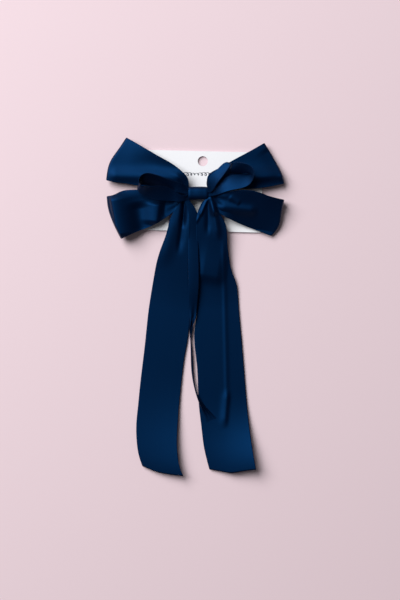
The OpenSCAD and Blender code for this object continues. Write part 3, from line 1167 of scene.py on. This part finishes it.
def bow_loops() -> Loops:
    """Gives the loops their outlines and heights."""
    return Loops(
        upper_left=BigLoop(
            upper=((-9.5, 4.6), (-10.9, 16.4), (-14.4, 20.6), (-23, 27.8), (-40, 37.8),
                   (-55.9, 47.1), (-71.6, 56.1)),
            lower=((-9.5, -4.6), (-20, 1.0), (-40, 6.5), (-60.4, 8.1), (-74.4, 10.4), (-87.3, 12.1),
                   (-91.9, 13.2)),
            fold_line=((-71.6, 56.1), (-80.1, 43.5), (-88, 31.4), (-91.9, 13.2)),
            root=12,
            tip=(9.5, 7.5),
            puff=4.5,
            crown=(1.0, 0.35, 0.1),
            folds=(
                Fold((-82, 18), (-22, 16), 2.5, 7, 6, 12),
                Fold((-44, 30), (-18, 26), -1.3, 10, 8, 26),
            ),
            root_z=(11.95, 10.85),
        ),
        upper_right=BigLoop(
            upper=((9.5, 4.6), (10.6, 18.5), (19.9, 24.9), (34.1, 32.8), (51.3, 42.1), (66.3, 50.6)),
            lower=((9.5, -4.6), (20, 2.5), (39.9, 5.2), (54.1, 4.9), (68.4, 6.4), (86.3, 9.9)),
            fold_line=((66.3, 50.6), (74.1, 37.8), (81.3, 24.9), (84.1, 19.2), (86.3, 9.9)),
            root=10,
            tip=(8, 8),
            puff=1.5,
            crown=(1.0, 1.0, 1.0),
            folds=(
                Fold((54, 16), (85, 19), 3.6, 9, 5, 10),
                Fold((72, 42), (84, 22), -1.2, 5, 9, 6),
            ),
            root_z=(9.75, 8.65),
            phase=0.3,
        ),
        lower_left=BigLoop(
            upper=((-9.5, 4.6), (-24, 1.6), (-45, 3.4), (-60.1, 3.8), (-68.7, 3.5), (-77.3, 2.1),
                   (-87.3, -2.2), (-91.3, -2.9)),
            lower=((-9.5, -4.6), (-23, -17.2), (-31.6, -23.6), (-45.9, -32.2), (-60.1, -37.9),
                   (-77, -45.4)),
            fold_line=((-91.3, -2.9), (-90.1, -13.6), (-86.6, -25.1), (-81.6, -36.5), (-77, -45.4)),
            root=10,
            tip=(10, 9),
            puff=2.5,
            crown=(1.0, 0.6, 0.3),
            folds=(
                Fold((-86, -8), (-80, -40), 7.5, 19, 3, 12),
                Fold((-60, -16), (-57, -34), -3.0, 9, 8, 9),
                Fold((-40, -13), (-42, -27), 2.8, 4, 11, 6),
                Fold((-29, -9), (-30, -20), -2.0, 6, 6, 6),
            ),
            root_z=(9.75, 8.65),
            phase=0.5,
        ),
        lower_right=BigLoop(
            upper=((9.5, 4.6), (22, 1.8), (37, 2.8), (47, 3.2), (58.4, 2.1), (68.4, -1.5), (86.3, -6.2)),
            lower=((9.5, -4.6), (21.3, -19.4), (25.6, -22.2), (39.9, -29.4), (54.1, -35.1),
                   (73.4, -42.5)),
            fold_line=((86.3, -6.2), (83.4, -20.8), (81.3, -31.5), (73.4, -42.5)),
            root=12,
            tip=(14, 3.5),
            puff=4.5,
            crown=(1.5, 0.6, -0.1),
            folds=(
                Fold((27, -14), (52, -17), 2.2, 4.5, 5, 9),
                Fold((33, -5), (40, -9), 1.0, 3, 2.5, 3),
            ),
            root_z=(11.95, 10.85),
            phase=0.2,
        ),
        small_right=SmallLoop(
            front_rim=((9.5, 1.6, 15.6), (12.2, 1.4, 17.0), (17.5, 7.6, 19), (25, 17.8, 20.5),
                       (33.2, 29.3, 20.5), (35.2, 31.3, 21), (37.5, 31.6, 22.5), (47, 30, 25.5),
                       (53, 27.3, 26), (55.8, 23, 26), (55.6, 16.5, 25), (51.3, 9.2, 23.5),
                       (36, 4.0, 21), (24, 0.6, 18.5), (15.6, -2.2, 16.5), (9.5, -2.6, 14.2)),
            back_rim=((9.5, 5.6, 15.2), (8.6, 11.4, 15.8), (12, 18, 15.8), (19.9, 24.9, 16.4),
                      (30.4, 31.2, 18.2), (33, 29, 17.6), (31.5, 22.5, 15.4), (37, 20.4, 14.6),
                      (44, 20.2, 14.4), (50, 21.6, 14.4), (52.6, 21.2, 14.4), (50.4, 20.2, 14.4),
                      (44, 19.2, 14.4), (36, 18.6, 14.6), (28.6, 16.4, 14.8), (23, 10.6, 14.8),
                      (15.6, 5.0, 14.6), (9.5, 1.0, 14.1)),
        ),
        small_left=SmallLoop(
            front_rim=((-9.5, -0.6, 14.4), (-13, -2.2, 17), (-23, 2.1, 19.5), (-34.4, 7.1, 24),
                       (-45.9, 7.3, 27.5), (-53, 6.6, 29), (-57.8, 9.0, 30), (-59.3, 13.5, 30),
                       (-57.3, 17.8, 29), (-52, 20.5, 29), (-45.9, 19.9, 28), (-38.7, 17.8, 26),
                       (-27.3, 13.5, 22), (-14.4, 9.2, 17.5), (-9.5, 4.4, 15.6)),
            back_rim=((-9.5, -4.8, 14.1), (-13, -6.9, 15), (-24.4, -7.4, 16.5), (-38.7, -6.5, 19),
                      (-50, -3.6, 20.5), (-56.5, -0.6, 21), (-60.2, 3.0, 20), (-60.6, 6.4, 17.5),
                      (-57.5, 8.6, 14), (-52, 8.5, 14), (-45.9, 7.4, 14), (-38.7, 5.8, 14.4),
                      (-27.3, 3.5, 14.8), (-14.4, 0.2, 15), (-9.5, 0.0, 15.2)),
        ),
    )


def bow_tails() -> Tails:
    """Gives the tails their outlines and heights."""
    return Tails(
        left=WideTail(
            left=((-9.5, 2.0), (-13.0, -1.8), (-16.9, -7.6), (-22.4, -15.4), (-26.9, -23.2),
                  (-31.3, -38.7), (-36.9, -54.3), (-41.3, -68.7), (-44.1, -83.2), (-46.9, -99.8),
                  (-49.7, -118.7), (-52.4, -144.3), (-54.7, -164.3), (-58, -192.1), (-60.2, -214.3),
                  (-61.7, -230.9), (-61.3, -247.6), (-59.1, -262.1), (-55.6, -272.6)),
            right=((-9.5, -4.0), (-12.6, -8.5), (-10.6, -13.5), (-9.3, -18.5), (-9.5, -60), (-9.3, -100),
                   (-9.3, -138), (-13.6, -164.3), (-16.9, -192.1), (-19.1, -214.3), (-20.4, -234.3),
                   (-21, -247.6), (-20.2, -262.1), (-18, -274.3), (-14.7, -282.6)),
            cut=((-55.6, -272.6), (-40.2, -278.7), (-29.1, -280.9), (-14.7, -282.6)),
            root=13.5,
            landing=120,
            end_lift=(1.0, 8.0),
            lift_from=170,
            folds=(
                Fold((-13.6, -9), (-15, -26), -3.0, 2.6, 2.4, 10),
                Fold((-15, -26), (-17.5, -44), -1.8, 3.6, 2.6, 20),
                Fold((-25, -34), (-31, -54), 1.2, 7, 7, 24),
            ),
        ),
        right=WideTail(
            left=((9.5, -4.0), (5.2, -7.9), (-0.8, -20.4), (-1.8, -40.9), (-1.4, -79.8), (-2, -126.5),
                  (-3.6, -138.7), (-1.3, -169.8), (0.3, -202.1), (0.9, -212.1), (3.1, -230.9),
                  (5.9, -253.2), (11.4, -275.9)),
            right=((9.5, 2.0), (13.5, -4.5), (17.4, -11.5), (20, -16.5), (22.4, -20.9), (27.6, -30.9),
                   (29.2, -46.5), (30.9, -63.2), (34.2, -78.7), (37.6, -87.6), (40.3, -107.6),
                   (43.1, -140.9), (46.4, -180.9), (49.8, -219.8), (54.2, -253.2), (58.1, -276.3)),
            cut=((11.4, -275.9), (24.2, -278.2), (33.1, -279.5), (43.1, -278.2), (58.1, -276.3)),
            root=13.5,
            landing=120,
            end_lift=(0.5, 11.5),
            lift_from=200,
            folds=(
                Fold((12, -5), (16, -18), 2.2, 3.0, 2.8, 6),
                Fold((16, -18), (19, -36), 1.6, 3.2, 3.0, 12),
                Fold((10.6, -12), (10, -30), -1.4, 2.4, 2.8, 14),
                Fold((9, -7), (3, -20), 1.2, 1.4, 1.6, 4),
                Fold((3, -20), (-1, -27), 0.8, 1.4, 1.6, 5),
                Fold((6, -80), (18, -82), 2.4, 22, 7, 12),
                Fold((25.5, -60), (28.6, -200), 0.45, 2.4, 1.8, 16),
                Fold((28.8, -206), (27.2, -224), 1.2, 2.4, 4.0, 12),
            ),
        ),
        short=NarrowTail(
            stations=(
                (-1, -11.5, -8.5, 13.6, 1, 0), (-7, -13, -8.3, 13.4, 1, 0), (-12, -11.9, -4.6, 13, 1, 0),
                (-20, -9.5, -0.9, 12.2, 1, 0), (-30, -9.6, -0.4, 10.9, 1, 0), (-41, -9.65, -0.1, 9.6, 1, 0),
                (-60, -9.65, 0.5, 9.3, 1, 0), (-80, -9.6, 0.9, 9.0, 1, 0), (-100, -9.5, 0.2, 7.6, 1, 0),
                (-116, -9.4, -0.8, 5.2, 0.9, 0.1), (-127, -9.2, -1.6, 3.4, 0.6, 0.5),
                (-134, -8.7, -4.2, 2.0, 0.2, 0.9), (-141, -8, -6.2, 1.2, 0, 1),
                (-160, -7.2, -5.5, 0.7, 0, 1), (-180, -6.2, -4.5, 0.7, 0, 1), (-203, -1.2, 0.6, 1.8, 0, 1),
                (-215, 3.2, 9, 2.4, 0, 0.5), (-226, 7.6, 20, 2.4, 0, 0), (-235, 10, 25, 2.0, 0, 0),
                (-243, 12.4, 26.5, 1.8, 0, 0),
            ),
        ),
    )


def main() -> None:
    """Builds the whole object."""
    logging.basicConfig(level=logging.INFO, format="%(message)s")
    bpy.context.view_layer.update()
    bow_loops().build()
    bow_tails().build()
    Knot().build()
    Barrette().build()
    Card().build()
    Stage().build()


if __name__ == "__main__":
    main()
